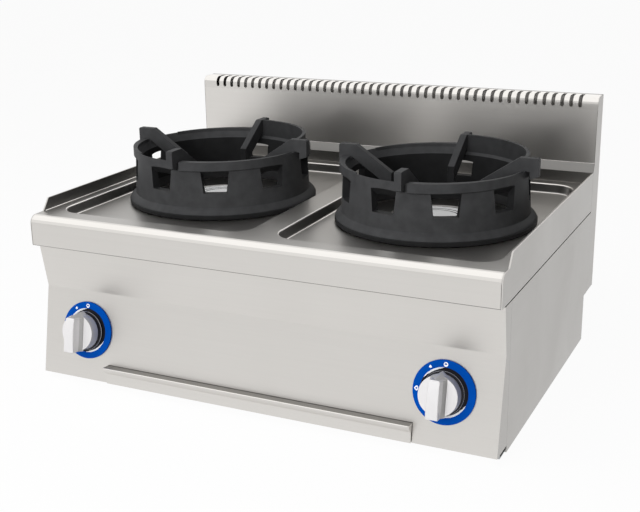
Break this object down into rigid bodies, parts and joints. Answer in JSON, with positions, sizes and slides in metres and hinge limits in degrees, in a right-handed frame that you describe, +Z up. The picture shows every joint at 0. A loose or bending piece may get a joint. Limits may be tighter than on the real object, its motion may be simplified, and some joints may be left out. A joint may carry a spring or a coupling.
{
  "type": "gas wok range",
  "caption": "Countertop gas wok range: cast rings with finger supports in a pressed steel top, concave front with round taps, slide-out drip tray and slotted rear flue.",
  "frame": {"origin": "on the counter under the centre of the bounding box, knobs and flue screws included", "axes": "+X to the right seen from the front, +Y to the back where the flue stands, +Z up; the taps face -Y"},
  "size_m": [0.8, 0.6498, 0.44],
  "materials": {
    "stainless": "fine brushed",
    "bright_steel": "polished",
    "galvanised": "galvanised",
    "cast_iron": "black enamelled casting",
    "brass": "turned",
    "copper": "drawn pipe",
    "blue_plate": "gloss blue",
    "knob": "satin metallised"
  },
  "bodies": {
    "range": {"worktop": "stainless", "front_panel": "stainless", "flue_riser": "stainless", "flue_cover": "stainless", "base_plate": "galvanised", "lower_back": "galvanised", "side_panel_left": "stainless", "side_panel_right": "stainless", "tray_runner_left": "galvanised", "tray_runner_right": "galvanised", "burner_rail_front": "galvanised", "burner_rail_rear": "galvanised", "burner_body_left": "cast_iron", "burner_body_right": "cast_iron", "injector_left": "brass", "injector_right": "brass", "injector_bracket_left": "galvanised", "injector_bracket_right": "galvanised", "pilot_burner_left": "brass", "pilot_burner_right": "brass", "pilot_line_left": "copper", "pilot_line_right": "copper", "thermocouple_left": "copper", "thermocouple_right": "copper", "supply_pipe_left": "copper", "supply_pipe_right": "copper", "gas_manifold": "galvanised", "manifold_elbow": "brass", "manifold_plug": "brass", "manifold_post_left": "galvanised", "manifold_post_right": "galvanised", "gas_inlet": "galvanised", "tap_body_left": "brass", "tap_body_right": "brass", "bezel_left": "blue_plate", "bezel_right": "blue_plate", "cover_screw_1": "bright_steel", "cover_screw_2": "bright_steel", "cover_screw_3": "bright_steel", "cover_screw_4": "bright_steel", "cover_screw_5": "bright_steel", "cover_screw_6": "bright_steel"},
    "tray": {"drip_tray": "stainless"},
    "ring_left": {"wok_ring_left": "cast_iron"},
    "ring_right": {"wok_ring_right": "cast_iron"},
    "cap_left": {"burner_cap_left": "bright_steel"},
    "cap_right": {"burner_cap_right": "bright_steel"},
    "plug_left": {"tap_plug_left": "brass"},
    "plug_right": {"tap_plug_right": "brass"},
    "handle_left": {"tap_stem_left": "bright_steel", "knob_left": "knob"},
    "handle_right": {"tap_stem_right": "bright_steel", "knob_right": "knob"}
  },
  "joints": [
    {"name": "tray_slide", "type": "slide", "parent": "range", "child": "tray", "axis": [0, -1, 0], "range_m": [0, 0.42]},
    {"name": "ring_lift_left", "type": "slide", "parent": "range", "child": "ring_left", "axis": [0, 0, 1], "range_m": [0, 0.12]},
    {"name": "ring_lift_right", "type": "slide", "parent": "range", "child": "ring_right", "axis": [0, 0, 1], "range_m": [0, 0.12]},
    {"name": "cap_lift_left", "type": "slide", "parent": "range", "child": "cap_left", "axis": [0, 0, 1], "range_m": [0, 0.06]},
    {"name": "cap_lift_right", "type": "slide", "parent": "range", "child": "cap_right", "axis": [0, 0, 1], "range_m": [0, 0.06]},
    {"name": "tap_turn_left", "type": "hinge", "parent": "range", "child": "plug_left", "pos_m": [-0.3142, -0.2646, 0.09297], "axis": [0, -0.9817, 0.1903], "range_deg": [0, 180]},
    {"name": "tap_turn_right", "type": "hinge", "parent": "range", "child": "plug_right", "pos_m": [0.3142, -0.2646, 0.09297], "axis": [0, -0.9817, 0.1903], "range_deg": [0, 180]},
    {"name": "knob_push_left", "type": "slide", "parent": "plug_left", "child": "handle_left", "axis": [0, 0.9817, -0.1903], "range_m": [0, 0.003], "stiffness_N_per_m": 2500, "springref_m": -0.001},
    {"name": "knob_push_right", "type": "slide", "parent": "plug_right", "child": "handle_right", "axis": [0, 0.9817, -0.1903], "range_m": [0, 0.003], "stiffness_N_per_m": 2500, "springref_m": -0.001}
  ]
}
